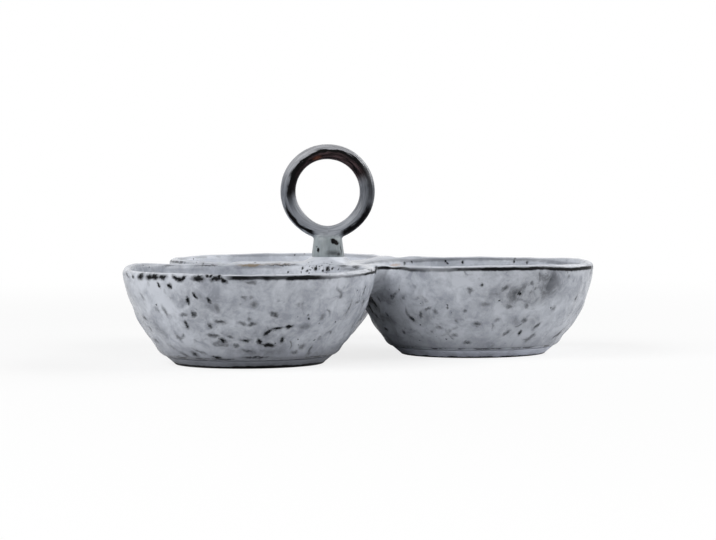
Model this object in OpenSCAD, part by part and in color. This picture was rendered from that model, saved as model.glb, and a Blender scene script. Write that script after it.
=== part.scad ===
// Stoneware relish tray: three footed bowls luted together at their rims,
// with a ring handle on a short stem in the middle.
// Millimetres, +Z up, origin on the table under the middle of the outline.
// +X runs to the right and +Y away from the front.

/* [Bowls] */
// Outer rim radius of the left bowl
left_bowl_r = 62; // [50:0.5:75]
// Outer rim radius of the right bowl
right_bowl_r = 61.5; // [50:0.5:75]
// Outer rim radius of the rear bowl
rear_bowl_r = 57.5; // [50:0.5:75]
// Height of the rims above the table
bowl_h = 46.7; // [38:0.1:60]
// Wall thickness at the rim
wall_t = 4.4; // [3:0.1:6]
// Thickness of each bowl's floor
floor_t = 5; // [3:0.1:8]
// Fullness of the belly: 1 is a straight cone, 2 a quarter ellipse
belly_power = 1.5; // [1.2:0.05:2.2]

/* [Feet] */
// How far the top of the foot lies inside the rim
foot_inset = 23; // [16:0.5:30]
// Height of the foot ring
foot_h = 4; // [2:0.1:8]
// How far the foot draws in towards the table
foot_taper = 3.6; // [1:0.1:6]
// Width of the face that stands on the table
foot_w = 6; // [4:0.1:10]
// Bevel along the foot's lower edge
foot_bevel = 0.8; // [0.2:0.1:1.5]

/* [Layout] */
// Gap between the left and right rims
front_gap = 3.4; // [0.6:0.1:8]
// Gap between the right and rear rims
back_gap = 0.8; // [0.6:0.1:8]
// Gap between the left and rear rims
side_gap = 4.9; // [0.6:0.1:8]
// Turn of the line from the left bowl to the right bowl, in degrees
layout_turn = 28; // [0:0.5:60]
// How far the handle stands to the left of the middle
handle_shift = 1.1; // [0:0.1:3]

/* [Web] */
// Depth of the web that fills the middle, from the rims down
web_t = 13; // [6:0.5:20]
// Drop of the web's top below the rims
web_drop = 0.6; // [0.3:0.1:3]
// Depth of the seams between two bowls, from the rims down
seam_t = 15; // [6:0.5:20]
// Reach of a seam outwards from the line between two bowls, along its upper edge
seam_out = 18; // [8:0.5:20]
// Reach of a seam outwards along its lower edge
seam_foot_out = 4; // [0:0.5:8]
// Height of a seam's upright lip, below which its outer face draws in
seam_lip = 5; // [3:0.5:6]
// Reach of a seam inwards from the line between two bowls
seam_in = 9; // [4:0.5:12]

/* [Handle] */
// Rise of the pad under the stem above the rims
pad_rise = 3.5; // [1:0.1:6]
// Ledge of the pad around the stem's foot
pad_ledge = 1; // [0.2:0.1:3]
// Spread of the pad from its top to its foot
pad_flare = 2.4; // [0:0.1:2.8]
// Radius of the stem at its foot
stem_base_r = 8.4; // [6:0.1:10]
// Draw-in of the stem from its foot to the ring
stem_taper = 1.1; // [0:0.1:2]
// Height of the stem between the pad and the ring
stem_h = 8.5; // [5:0.5:20]
// Radius of the finger hole
ring_hole_r = 16.3; // [12:0.1:25]
// Thickness of the ring
ring_t = 7.9; // [5:0.1:12]

/* [Hidden] */
$fn = 160;

// Straight steps along a belly, round a rim and over the stem's dome
belly_steps = 18;
rim_steps = 10;
dome_steps = 8;

glaze_color = "#a3a7af";
handle_color = "#6b6f76";
clay_color = "#5a5350";

// Heights
rim_z = bowl_h - wall_t / 2;
floor_z = foot_h + floor_t;
web_top_z = bowl_h - web_drop;
seam_bottom_z = bowl_h - seam_t;
pad_top_z = bowl_h + pad_rise;
ring_bottom_z = pad_top_z + stem_h;
ring_mid_r = ring_hole_r + ring_t / 2;
ring_z = ring_bottom_z + ring_t / 2 + ring_mid_r;

// Radii of the handle's foot
stem_top_r = stem_base_r - stem_taper;
pad_top_r = stem_base_r + pad_ledge;
pad_base_r = pad_top_r + pad_flare;

// Bowl centres, first with the left bowl at the origin
left_right = left_bowl_r + right_bowl_r + front_gap;
right_rear = right_bowl_r + rear_bowl_r + back_gap;
left_rear = left_bowl_r + rear_bowl_r + side_gap;
left_corner = acos(
    (left_right * left_right + left_rear * left_rear - right_rear * right_rear)
    / (2 * left_right * left_rear)
);
right_from_left = left_right * heading(layout_turn);
rear_from_left = left_rear * heading(layout_turn + left_corner);

// The part's origin lies under the middle of the three rims' common outline
from_left = [[0, 0], right_from_left, rear_from_left];
rim_radii = [left_bowl_r, right_bowl_r, rear_bowl_r];
outline_middle = [for (axis = [0:1]) middle_along(axis)];
left_at = from_left[0] - outline_middle;
right_at = from_left[1] - outline_middle;
rear_at = from_left[2] - outline_middle;

// The handle stands where the gap to all three rims is the same, a little to the left
handle_at = left_at + even_gap_point() - [handle_shift, 0];

function heading(turn) = [cos(turn), sin(turn)];

function middle_along(axis) =
    let (
        low = min([for (i = [0:2]) from_left[i][axis] - rim_radii[i]]),
        high = max([for (i = [0:2]) from_left[i][axis] + rim_radii[i]])
    )
    (low + high) / 2;

// Centre of the circle that touches all three rims from between them, seen from the left bowl
function even_gap_point() =
    let (
        a = right_from_left,
        b = rear_from_left,
        a_more = right_bowl_r - left_bowl_r,
        b_more = rear_bowl_r - left_bowl_r,
        a_side = (a * a - right_bowl_r * right_bowl_r + left_bowl_r * left_bowl_r) / 2,
        b_side = (b * b - rear_bowl_r * rear_bowl_r + left_bowl_r * left_bowl_r) / 2,
        span = a.x * b.y - b.x * a.y,
        start = [a_side * b.y - b_side * a.y, a.x * b_side - b.x * a_side] / span,
        drift = -[a_more * b.y - b_more * a.y, a.x * b_more - b.x * a_more] / span,
        square = drift * drift - 1,
        linear = 2 * (start * drift - left_bowl_r),
        fixed = start * start - left_bowl_r * left_bowl_r,
        gap = (-linear - sqrt(linear * linear - 4 * square * fixed)) / (2 * square)
    )
    start + gap * drift;

// Share of the way out and up along a belly curve, at an angle from its foot
function belly_shares(angle) = [
    pow(sin(angle), 2 / belly_power),
    1 - pow(cos(angle), 2 / belly_power)
];

// Belly curve from a foot point to the rim
function belly_curve(foot_r, foot_z, top_r) = [
    for (i = [0:belly_steps])
        let (share = belly_shares(90 * i / belly_steps))
        [foot_r + (top_r - foot_r) * share[0], foot_z + (rim_z - foot_z) * share[1]]
];

function outside_curve(rim_r) = belly_curve(rim_r - foot_inset, foot_h, rim_r);

function inside_curve(rim_r) =
    belly_curve(rim_r - foot_inset - wall_t, floor_z, rim_r - wall_t);

// Round of the rim from its outer side over the top to an end angle
function rim_round(rim_r, end_angle) = [
    for (i = [1:rim_steps - 1])
        [rim_r - wall_t / 2, rim_z] + wall_t / 2 * heading(end_angle * i / rim_steps)
];

function reversed(points) = [for (i = [len(points) - 1:-1:0]) points[i]];

// One bowl's shell, standing on its foot's top face
module bowl_shell(rim_r) {
    rotate_extrude()
        polygon(concat(
            [[0, foot_h]],
            outside_curve(rim_r),
            rim_round(rim_r, 180),
            reversed(inside_curve(rim_r)),
            [[0, floor_z]]
        ));
}

// The same bowl filled to the brim, to cut what lies against its outside
module bowl_outside(rim_r) {
    rotate_extrude()
        polygon(concat(
            [[0, foot_h]],
            outside_curve(rim_r),
            rim_round(rim_r, 90),
            [[rim_r - wall_t / 2, bowl_h], [0, bowl_h]]
        ));
}

module all_bowls_outside() {
    translate(left_at) bowl_outside(left_bowl_r);
    translate(right_at) bowl_outside(right_bowl_r);
    translate(rear_at) bowl_outside(rear_bowl_r);
}

module foot_ring(rim_r) {
    top_r = rim_r - foot_inset;
    base_r = top_r - foot_taper;
    inner_r = base_r - foot_bevel - foot_w;
    rotate_extrude()
        polygon([
            [top_r, foot_h],
            [base_r, foot_bevel],
            [base_r - foot_bevel, 0],
            [inner_r, 0],
            [inner_r - foot_bevel, foot_bevel],
            [inner_r - foot_bevel, foot_h]
        ]);
}

// Level way out of the part, square to the line between two bowls
function outwards(from_at, to_at) =
    let (along = (to_at - from_at) / norm(to_at - from_at))
    [along.y, -along.x];

// Bar across the gap between two bowls, before the bowls are cut out of it.
// It runs from one bowl's middle line to the other's, and the outer side is to the right of from-to.
// Below its lip the outer face slants in towards the lower edge.
module seam_block(from_at, to_at) {
    out = outwards(from_at, to_at);
    translate(to_at)
        rotate([90, 0, atan2(out.y, out.x)])
            linear_extrude(norm(to_at - from_at))
                polygon([
                    [-seam_in, seam_bottom_z],
                    [seam_foot_out, seam_bottom_z],
                    [seam_out, web_top_z - seam_lip],
                    [seam_out, web_top_z],
                    [-seam_in, web_top_z]
                ]);
}

module seam(from_at, to_at) {
    color(glaze_color)
        difference() {
            seam_block(from_at, to_at);
            all_bowls_outside();
        }
}

module bowl_left() {
    color(glaze_color) translate(left_at) bowl_shell(left_bowl_r);
}

module bowl_right() {
    color(glaze_color) translate(right_at) bowl_shell(right_bowl_r);
}

module bowl_rear() {
    color(glaze_color) translate(rear_at) bowl_shell(rear_bowl_r);
}

module foot_ring_left() {
    color(clay_color) translate(left_at) foot_ring(left_bowl_r);
}

module foot_ring_right() {
    color(clay_color) translate(right_at) foot_ring(right_bowl_r);
}

module foot_ring_rear() {
    color(clay_color) translate(rear_at) foot_ring(rear_bowl_r);
}

module seam_front() {
    seam(left_at, right_at);
}

module seam_back() {
    seam(right_at, rear_at);
}

module seam_side() {
    seam(rear_at, left_at);
}

// Room for a seam on both sides of the line between two bowls, open at the top
module seam_room(from_at, to_at) {
    aside = outwards(from_at, to_at) * seam_in;
    translate([0, 0, seam_bottom_z])
        linear_extrude(seam_t)
            polygon([from_at + aside, to_at + aside, to_at - aside, from_at - aside]);
}

// Three-sided web between the bowls, inside the seams
module center_web() {
    color(glaze_color)
        difference() {
            translate([0, 0, bowl_h - web_t])
                linear_extrude(web_t - web_drop)
                    polygon([left_at, right_at, rear_at]);
            all_bowls_outside();
            seam_room(left_at, right_at);
            seam_room(right_at, rear_at);
            seam_room(rear_at, left_at);
        }
}

// Low pad of clay that carries the stem
module handle_pad() {
    color(glaze_color)
        difference() {
            translate([handle_at.x, handle_at.y, web_top_z])
                cylinder(h = pad_top_z - web_top_z, r1 = pad_base_r, r2 = pad_top_r);
            all_bowls_outside();
        }
}

module ring_solid() {
    translate([handle_at.x, handle_at.y, ring_z])
        rotate([90, 0, 0])
            rotate_extrude()
                translate([ring_mid_r, 0])
                    circle(ring_t / 2);
}

// Tapered stem with a domed top, hollowed to seat the ring
module handle_stem() {
    dome_h = ring_t / 2;
    color(handle_color)
        difference() {
            translate([handle_at.x, handle_at.y, pad_top_z])
                rotate_extrude()
                    polygon(concat(
                        [[0, 0], [stem_base_r, 0]],
                        [
                            for (i = [0:dome_steps])
                                [
                                    stem_top_r * cos(90 * i / dome_steps),
                                    stem_h + dome_h * sin(90 * i / dome_steps)
                                ]
                        ]
                    ));
            ring_solid();
        }
}

module handle_ring() {
    color(handle_color) ring_solid();
}

bowl_left();
bowl_right();
bowl_rear();
foot_ring_left();
foot_ring_right();
foot_ring_rear();
seam_front();
seam_back();
seam_side();
center_web();
handle_pad();
handle_stem();
handle_ring();
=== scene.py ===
import math
import bpy
from mathutils import Euler, Matrix, Vector


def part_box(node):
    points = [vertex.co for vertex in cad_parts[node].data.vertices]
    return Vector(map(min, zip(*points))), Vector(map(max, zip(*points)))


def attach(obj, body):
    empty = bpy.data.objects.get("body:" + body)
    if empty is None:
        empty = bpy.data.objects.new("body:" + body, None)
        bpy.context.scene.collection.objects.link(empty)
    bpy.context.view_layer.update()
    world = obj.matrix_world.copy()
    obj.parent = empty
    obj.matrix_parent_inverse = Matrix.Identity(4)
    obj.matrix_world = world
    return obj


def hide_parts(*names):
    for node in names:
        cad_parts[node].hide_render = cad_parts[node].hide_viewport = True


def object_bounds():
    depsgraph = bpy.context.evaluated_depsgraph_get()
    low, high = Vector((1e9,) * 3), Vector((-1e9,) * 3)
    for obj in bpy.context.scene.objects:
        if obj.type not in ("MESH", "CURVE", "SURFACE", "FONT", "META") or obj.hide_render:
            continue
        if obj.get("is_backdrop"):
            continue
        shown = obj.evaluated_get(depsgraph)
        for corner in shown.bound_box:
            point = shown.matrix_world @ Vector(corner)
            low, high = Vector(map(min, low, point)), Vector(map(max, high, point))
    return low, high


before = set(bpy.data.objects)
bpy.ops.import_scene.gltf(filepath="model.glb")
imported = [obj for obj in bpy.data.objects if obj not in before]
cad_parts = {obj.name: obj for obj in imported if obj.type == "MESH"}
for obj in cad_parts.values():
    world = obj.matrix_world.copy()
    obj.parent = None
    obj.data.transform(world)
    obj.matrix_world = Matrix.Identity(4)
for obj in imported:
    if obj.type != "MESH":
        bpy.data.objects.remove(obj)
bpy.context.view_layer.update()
scene = bpy.context.scene
scene.view_settings.view_transform = "Standard"
mm = 0.001


def pick(*things):  # these become the only selected objects, the first one active
    bpy.ops.object.select_all(action="DESELECT")
    for thing in things:
        thing.select_set(True)
    bpy.context.view_layer.objects.active = things[0]


def twin(thing, name):  # a copy with a mesh of its own
    copy = bpy.data.objects.new(name, thing.data.copy())
    scene.collection.objects.link(copy)
    return copy


def refine(thing, kind, **settings):  # adds one modifier and applies it
    pick(thing)
    bpy.ops.object.modifier_add(type=kind)
    step = thing.modifiers[-1]
    for name, value in settings.items():
        setattr(step, name, value)
    bpy.ops.object.modifier_apply(modifier=step.name)


def fuse(things):  # joins copies into one mesh with its doubles merged, nothing left selected in it
    pick(*things)
    if len(things) > 1:
        bpy.ops.object.join()
    bpy.ops.object.mode_set(mode="EDIT")
    bpy.ops.mesh.select_all(action="SELECT")
    bpy.ops.mesh.remove_doubles(threshold=0.001 * mm)
    bpy.ops.mesh.select_all(action="DESELECT")
    bpy.ops.object.mode_set(mode="OBJECT")
    return things[0]


def discard(*things):
    for thing in things:
        bpy.data.objects.remove(thing)


def addNode(tree, kind, links, give=0, **settings):  # one node; gives back one of its outputs
    node = tree.nodes.new(kind)
    for name, value in settings.items():
        setattr(node, name, value)
    for place, value in links.items():
        if isinstance(value, bpy.types.NodeSocket):
            tree.links.new(value, node.inputs[place])
        else:
            node.inputs[place].default_value = value
    return node.outputs[give] if node.outputs else node


def perSize(sizeInMm):  # pattern scale for features of a real size
    return 1 / (sizeInMm * mm)


def maths(tree, operation, *values):
    return addNode(tree, "ShaderNodeMath", dict(enumerate(values)), operation=operation)


def vectors(tree, operation, *values, give=0):
    return addNode(tree, "ShaderNodeVectorMath", dict(enumerate(values)), give=give, operation=operation)


def ramp(tree, value, low, high, first=0, last=1, soft=False):  # carries a value from one range to another
    return addNode(tree, "ShaderNodeMapRange", {
        "Value": value, "From Min": low, "From Max": high, "To Min": first, "To Max": last},
        interpolation_type="SMOOTHSTEP" if soft else "LINEAR")


def blend(tree, share, under, over):  # a share of one colour laid over another
    return addNode(tree, "ShaderNodeMix", {0: share, 6: under, 7: over}, give=2, data_type="RGBA")


def bumpy(tree, height, depthInMm):
    return addNode(tree, "ShaderNodeBump", {"Strength": 1.0, "Distance": depthInMm * mm, "Height": height})


def emptyTree(holder):  # the cleared node tree of a new material or world
    holder.use_nodes = True
    holder.node_tree.nodes.clear()
    return holder.node_tree


def lumpy(tree, place, sizeInMm, detail, roughness=0.5, distortion=0.0, give=0):  # noise of a real size
    return addNode(tree, "ShaderNodeTexNoise", {
        "Vector": place, "Scale": perSize(sizeInMm), "Detail": detail,
        "Roughness": roughness, "Distortion": distortion}, give=give)


def linear(hexColour):  # sRGB hex to linear colour
    parts = [int(hexColour[i:i + 2], 16) / 255 for i in (1, 3, 5)]
    return [c / 12.92 if c <= 0.04045 else ((c + 0.055) / 1.055) ** 2.4 for c in parts] + [1]


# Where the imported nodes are: bowl centres and rim radii, heights, the handle's axis
bowls = {}
for side in ("left", "right", "rear"):
    low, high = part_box("bowl_" + side)
    bowls[side] = {"centre": (low + high) / 2, "radius": max(high.x - low.x, high.y - low.y) / 2}
seams = {"seam_front": ("left", "right"), "seam_back": ("right", "rear"), "seam_side": ("rear", "left")}
rimTop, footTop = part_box("bowl_left")[1].z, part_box("bowl_left")[0].z
padTop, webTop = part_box("handle_pad")[1].z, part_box("center_web")[1].z
ringLow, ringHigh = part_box("handle_ring")
ringCentre = (ringLow + ringHigh) / 2
ringThick = ringHigh.y - ringLow.y
ringMid = (ringHigh.x - ringLow.x - ringThick) / 2
print("frame read:", {side: round(bowl["radius"] / mm, 1) for side, bowl in bowls.items()})

# Camera, at the photograph's low angle
shot = {
    "lens": 155.96,
    "sensor": 36,
    "place": (-2.15, -1581.2, 117.2),    # mm
    "tiltDown": 2.699, "roll": -0.35,    # degrees
    "frameSize": (716, 540),             # pixels of the photograph
}


def cameraTurn():
    tilt = Euler((math.radians(90 - shot["tiltDown"]), 0, 0)).to_matrix()
    return tilt @ Matrix.Rotation(math.radians(shot["roll"]), 3, "Z")


def setCamera():
    place = Vector(shot["place"]) * mm
    bpy.ops.object.camera_add(location=place, rotation=cameraTurn().to_euler())
    camera = bpy.context.object
    camera.data.lens = shot["lens"]
    camera.data.sensor_width = shot["sensor"]
    scene.camera = camera


def underPixel(thing, across, down):  # the spot of a mesh that a pixel of the photograph shows
    wide, tall = shot["frameSize"]
    focal = shot["lens"] / shot["sensor"] * wide
    ray = cameraTurn() @ Vector((across - wide / 2, tall / 2 - down, -focal))
    found, spot, facing, face = thing.ray_cast(Vector(shot["place"]) * mm, ray.normalized())
    return (spot, facing) if found else None


setCamera()
print("camera set")

# The wet clay: bowls, seams, web and pad luted into one body, the joints wiped over with slip
clay = {
    "grain": 0.78,         # mm, size of the faces
    "wipePasses": 4,       # light smoothing all over
    "slipReach": 10.0,     # mm round the joints that the slip is wiped
    "slipPasses": 90,
    "seamLift": 1.3,       # mm of slip heaped on the seams
    "webLift": 0.7,        # mm of slip heaped on the web
    "floorReach": 14.0,    # mm above the feet up to which the insides are wiped round
    "floorPasses": 120,
    "floorFacing": 0.2,    # how far up a face of a floor looks at least
    "stemRoot": 3.0,       # mm of the stem that sits in the pad
    "spare": 60.0,         # mm, size of the shapes that cut the clay
}


def seamFrame(node):  # a point on the line between two bowls, its direction and the way out
    start, end = [bowls[side] for side in seams[node]]
    across = end["centre"] - start["centre"]
    along = across.normalized()
    gap = across.length - start["radius"] - end["radius"]
    return start["centre"] + along * (start["radius"] + gap / 2), along, Vector((along.y, -along.x, 0))


def reachOf(node):  # how far a seam's solid reaches in and out from the line between its bowls
    middle, along, out = seamFrame(node)
    reaches = [(vertex.co - middle).dot(out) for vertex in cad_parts[node].data.vertices]
    return min(reaches), max(reaches)


def shift(piece, atHeight, rise):  # moves the flat top or bottom of a piece up or down
    pick(piece)
    for vertex in piece.data.vertices:
        vertex.select = abs(vertex.co.z - atHeight) < 0.01 * mm
    bpy.ops.object.mode_set(mode="EDIT")
    bpy.ops.mesh.select_mode(type="VERT")
    bpy.ops.transform.translate(value=(0, 0, rise * mm))
    bpy.ops.object.mode_set(mode="OBJECT")


def kneed(node):  # a merged copy of a node, as soft clay
    copy = twin(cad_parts[node], "clay_" + node)
    copy.data.materials.clear()
    return fuse([copy])


def wipe(thing):
    refine(thing, "REMESH", mode="VOXEL", voxel_size=clay["grain"] * mm, use_smooth_shade=True)
    refine(thing, "SMOOTH", factor=0.5, iterations=clay["wipePasses"])


def luteTogether():
    luting = [kneed(node) for node in (*seams, "center_web", "handle_pad")]
    for piece, lift in zip(luting, ("seamLift", "seamLift", "seamLift", "webLift")):
        shift(piece, webTop, clay[lift])
    guide = fuse([twin(piece, "guide") for piece in luting])
    body = fuse([kneed("bowl_" + side) for side in bowls] + luting)
    wipe(body)
    slip = body.vertex_groups.new(name="slip")
    slip.add(range(len(body.data.vertices)), 1.0, "REPLACE")
    refine(body, "VERTEX_WEIGHT_PROXIMITY", vertex_group="slip", target=guide,
           proximity_mode="GEOMETRY", proximity_geometry={"FACE"},
           min_dist=clay["slipReach"] * mm, max_dist=0, falloff_type="SMOOTH")
    refine(body, "SMOOTH", factor=0.5, iterations=clay["slipPasses"], vertex_group="slip")
    floors = body.vertex_groups.new(name="floors")
    top = footTop + clay["floorReach"] * mm
    inside = [point.index for point in body.data.vertices
              if point.normal.z > clay["floorFacing"] and point.co.z < top]
    floors.add(inside, 1.0, "REPLACE")
    refine(body, "SMOOTH", factor=0.5, iterations=clay["floorPasses"], vertex_group="floors")
    body.vertex_groups.clear()
    discard(guide)
    return body


def rollHandle():
    stem = kneed("handle_stem")
    shift(stem, padTop, -clay["stemRoot"])
    handle = fuse([kneed("handle_ring"), stem])
    wipe(handle)
    return handle


body = luteTogether()
handle = rollHandle()
print("clay luted:", len(body.data.vertices), "points, handle", len(handle.data.vertices))

# Finger marks: lumps, dents and wavy rims, quiet at the feet, along the rims and on the handle
touch = {
    "lumpSize": 38.0, "lumpDepth": 0.8,    # mm
    "dentSize": 13.0, "dentDepth": 0.6,
    "waveSize": 60.0, "waveRise": 0.35,
    "pressSpan": (0.25, 0.75),             # values of the noise from all in to all out
    "footQuiet": 3,                        # times the feet's height up to which the marks are fainter
    "rimQuiet": (0.75, 0.95),              # shares of the rim's height between which they get fainter
    "rimShare": 0.3,
    "handleShare": 0.35,
    "underSpan": (0.2, -0.2),              # how far down the clay above a foot looks
    "lifts": (                             # places where a rim was pulled up: x, y, reach and rise in mm
        (-113, -44, 42, 2.0), (70, -56, 45, 0.5), (15, -46, 26, 0.5), (18, 45, 30, 0.9),
    ),
    "liftDepth": 30.0,                     # mm below the rim at which a lift ends
    "hips": {                              # how much wider the clay settled above the feet
        "left": 0.036, "right": 0.055, "rear": 0.045,
    },
    "hipHeight": 6.0,                      # mm above the feet at which that ends
    "sag": 1.3, "sagReach": 16.0,          # mm that the ring's hole is worn down, and round which reach
}


def fingerMarks():
    tree = bpy.data.node_groups.new("fingerMarks", "GeometryNodeTree")
    tree.interface.new_socket("Geometry", in_out="INPUT", socket_type="NodeSocketGeometry")
    tree.interface.new_socket("Geometry", in_out="OUTPUT", socket_type="NodeSocketGeometry")
    shape = addNode(tree, "NodeGroupInput", {})
    place = addNode(tree, "GeometryNodeInputPosition", {})
    facing = addNode(tree, "GeometryNodeInputNormal", {})
    height = addNode(tree, "ShaderNodeSeparateXYZ", {0: place}, give=2)
    press = {}
    for name, depth in (("lump", "lumpDepth"), ("dent", "dentDepth"), ("wave", "waveRise")):
        noise = lumpy(tree, place, touch[name + "Size"], 1.0)
        press[name] = ramp(tree, noise, *touch["pressSpan"], -touch[depth] * mm, touch[depth] * mm)
    footQuiet = ramp(tree, height, footTop, footTop * touch["footQuiet"], soft=True)
    begin, end = [rimTop * share for share in touch["rimQuiet"]]
    rimQuiet = ramp(tree, height, begin, end, 1, touch["rimShare"], soft=True)
    handleQuiet = ramp(tree, height, rimTop, padTop, 1, touch["handleShare"], soft=True)
    depth = maths(tree, "ADD", press["lump"], press["dent"])
    for quiet in (rimQuiet, footQuiet, handleQuiet):
        depth = maths(tree, "MULTIPLY", depth, quiet)
    lift = press["wave"]
    for x, y, reach, rise in touch["lifts"]:
        away = vectors(tree, "SUBTRACT", place, (x * mm, y * mm, rimTop))
        away = vectors(tree, "DIVIDE", away, (reach * mm, reach * mm, touch["liftDepth"] * mm))
        away = vectors(tree, "LENGTH", away, give=1)
        pull = ramp(tree, away, 1, 0, 0, rise * mm, soft=True)
        lift = maths(tree, "ADD", lift, pull)
    for quiet in (footQuiet, handleQuiet):
        lift = maths(tree, "MULTIPLY", lift, quiet)
    hole = (ringCentre.x, ringCentre.y, ringCentre.z - ringMid + ringThick / 2)
    away = vectors(tree, "DISTANCE", place, hole, give=1)
    sag = ramp(tree, away, touch["sagReach"] * mm, 0, 0, -touch["sag"] * mm, soft=True)
    lift = maths(tree, "ADD", lift, sag)
    inwards = addNode(tree, "ShaderNodeVectorMath", {0: facing, "Scale": depth}, operation="SCALE")
    upwards = addNode(tree, "ShaderNodeCombineXYZ", {2: lift})
    offset = vectors(tree, "ADD", inwards, upwards)
    under = addNode(tree, "ShaderNodeSeparateXYZ", {0: facing}, give=2)
    under = ramp(tree, under, *touch["underSpan"])
    for side, bowl in bowls.items():
        away = vectors(tree, "SUBTRACT", place, bowl["centre"])
        away = vectors(tree, "MULTIPLY", away, (1, 1, 0))
        atBowl = vectors(tree, "LENGTH", away, give=1)
        atBowl = maths(tree, "LESS_THAN", atBowl, bowl["radius"])
        hipTop = footTop + touch["hipHeight"] * mm
        wider = ramp(tree, height, hipTop, footTop, 0, touch["hips"][side], soft=True)
        for share in (atBowl, under):
            wider = maths(tree, "MULTIPLY", wider, share)
        away = addNode(tree, "ShaderNodeVectorMath", {0: away, "Scale": wider}, operation="SCALE")
        offset = vectors(tree, "ADD", offset, away)
    moved = addNode(tree, "GeometryNodeSetPosition", {"Geometry": shape, "Offset": offset})
    addNode(tree, "NodeGroupOutput", {0: moved})
    return tree


marksOfHands = fingerMarks()
for thing in (body, handle):
    refine(thing, "NODES", node_group=marksOfHands)
print("finger marks pressed")

# Parting the fired body along its joints, so that each piece of the tray is a closed mesh of its own
parting = {
    "skin": 0.4,         # mm of a bowl's outside that stays with what is luted to it
    "padReach": 12.5,    # mm round the handle's axis
    "webReach": 30.0,
    "seamSpare": 3.0,    # mm beyond a seam's outer end
    "ringFoot": 1.5,     # mm of the ring's foot that belongs to the stem
    "crumb": 60,         # faces; smaller lumps are dropped
    "sharpEdge": 50,     # degrees
    "drumSides": 180,
}


def drum(centre, radius, bottom, top):
    bpy.ops.mesh.primitive_cylinder_add(
        vertices=parting["drumSides"], radius=radius, depth=top - bottom,
        location=(centre.x, centre.y, (top + bottom) / 2))
    bpy.ops.object.transform_apply(location=True, rotation=True, scale=True)
    return bpy.context.object


def seamBlock(node):
    middle, along, out = seamFrame(node)
    inner, outer = reachOf(node)
    outer += parting["seamSpare"] * mm
    spare = clay["spare"] * mm
    bpy.ops.mesh.primitive_cube_add(
        size=1, location=middle + out * (outer + inner) / 2, rotation=(0, 0, math.atan2(along.y, along.x)),
        scale=(spare / 2, outer - inner, spare))
    bpy.ops.object.transform_apply(location=True, rotation=True, scale=True)
    return bpy.context.object


def takeOut(thing, cutter):  # the part of a thing inside a cutting shape, taken out of it
    inside = twin(thing, "taken")
    refine(inside, "BOOLEAN", operation="INTERSECT", object=cutter, solver="MANIFOLD")
    refine(thing, "BOOLEAN", operation="DIFFERENCE", object=cutter, solver="MANIFOLD")
    discard(cutter)
    return inside


def jointZone():  # all that lies between the bowls
    zone = drum(ringCentre, parting["webReach"] * mm, footTop, padTop * 2)
    for node in seams:
        block = seamBlock(node)
        refine(zone, "BOOLEAN", operation="UNION", object=block, solver="MANIFOLD")
        discard(block)
    for bowl in bowls.values():
        wall = drum(bowl["centre"], bowl["radius"] - parting["skin"] * mm, -rimTop, padTop * 3)
        refine(zone, "BOOLEAN", operation="DIFFERENCE", object=wall, solver="MANIFOLD")
        discard(wall)
    return zone


def lumpsOf(thing):  # loose lumps as objects of their own
    pick(thing)
    bpy.ops.object.mode_set(mode="EDIT")
    bpy.ops.mesh.select_all(action="SELECT")
    bpy.ops.mesh.separate(type="LOOSE")
    bpy.ops.object.mode_set(mode="OBJECT")
    lumps = list(bpy.context.selected_objects)
    for crumb in [lump for lump in lumps if len(lump.data.polygons) < parting["crumb"]]:
        lumps.remove(crumb)
        discard(crumb)
    return lumps


def bowlOf(lump):  # the side whose bowl a lump lies at
    corners = [Vector(corner) for corner in lump.bound_box]
    middle = sum(corners, Vector()) / len(corners)
    return min(bowls, key=lambda side: (bowls[side]["centre"].xy - middle.xy).length)


def partPieces():
    joints = takeOut(body, jointZone())
    ringCut = ringLow.z + parting["ringFoot"] * mm
    pieces = {
        "handleStem": takeOut(handle, drum(ringCentre, parting["webReach"] * mm, 0, ringCut)),
        "handleRing": handle,
        "handlePad": takeOut(joints, drum(ringCentre, parting["padReach"] * mm, webTop, padTop * 2)),
    }
    for node, name in (("seam_front", "frontSeam"), ("seam_back", "backSeam"), ("seam_side", "sideSeam")):
        pieces[name] = takeOut(joints, seamBlock(node))
    pieces["centreWeb"] = joints
    for lump in lumpsOf(body):
        pieces[bowlOf(lump) + "Bowl"] = lump
    return pieces


wholes = {"body": twin(body, "wholeBody"), "handle": twin(handle, "wholeHandle")}
pieces = partPieces()
print("parted:", {name: len(piece.data.polygons) for name, piece in pieces.items()})

# The turned feet, their edges crisp under the bowls
turning = {
    "round": 0.3, "steps": 3,    # mm of rounding, and its facets
    "corner": 30,                # degrees from which an edge is rounded
    "spread": 1.012,             # how much the soft clay spread where it stood
}


def turnFoot(side):
    foot = kneed("foot_ring_" + side)
    wider = 1 + touch["hips"][side]
    pick(foot)
    bpy.ops.object.mode_set(mode="EDIT")
    bpy.ops.mesh.select_all(action="SELECT")
    bpy.ops.transform.resize(value=(wider, wider, 1), center_override=bowls[side]["centre"])
    bpy.ops.object.mode_set(mode="OBJECT")
    for vertex in foot.data.vertices:
        vertex.select = vertex.co.z < 0.01 * mm
    pick(foot)
    bpy.ops.object.mode_set(mode="EDIT")
    bpy.ops.mesh.select_mode(type="VERT")
    spread = turning["spread"]
    bpy.ops.transform.resize(value=(spread, spread, 1), center_override=bowls[side]["centre"])
    bpy.ops.object.mode_set(mode="OBJECT")
    refine(foot, "BEVEL", width=turning["round"] * mm, segments=turning["steps"], limit_method="ANGLE",
           angle_limit=math.radians(turning["corner"]))
    return foot


for side in bowls:
    pieces[side + "Foot"] = turnFoot(side)
print("feet turned")

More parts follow.
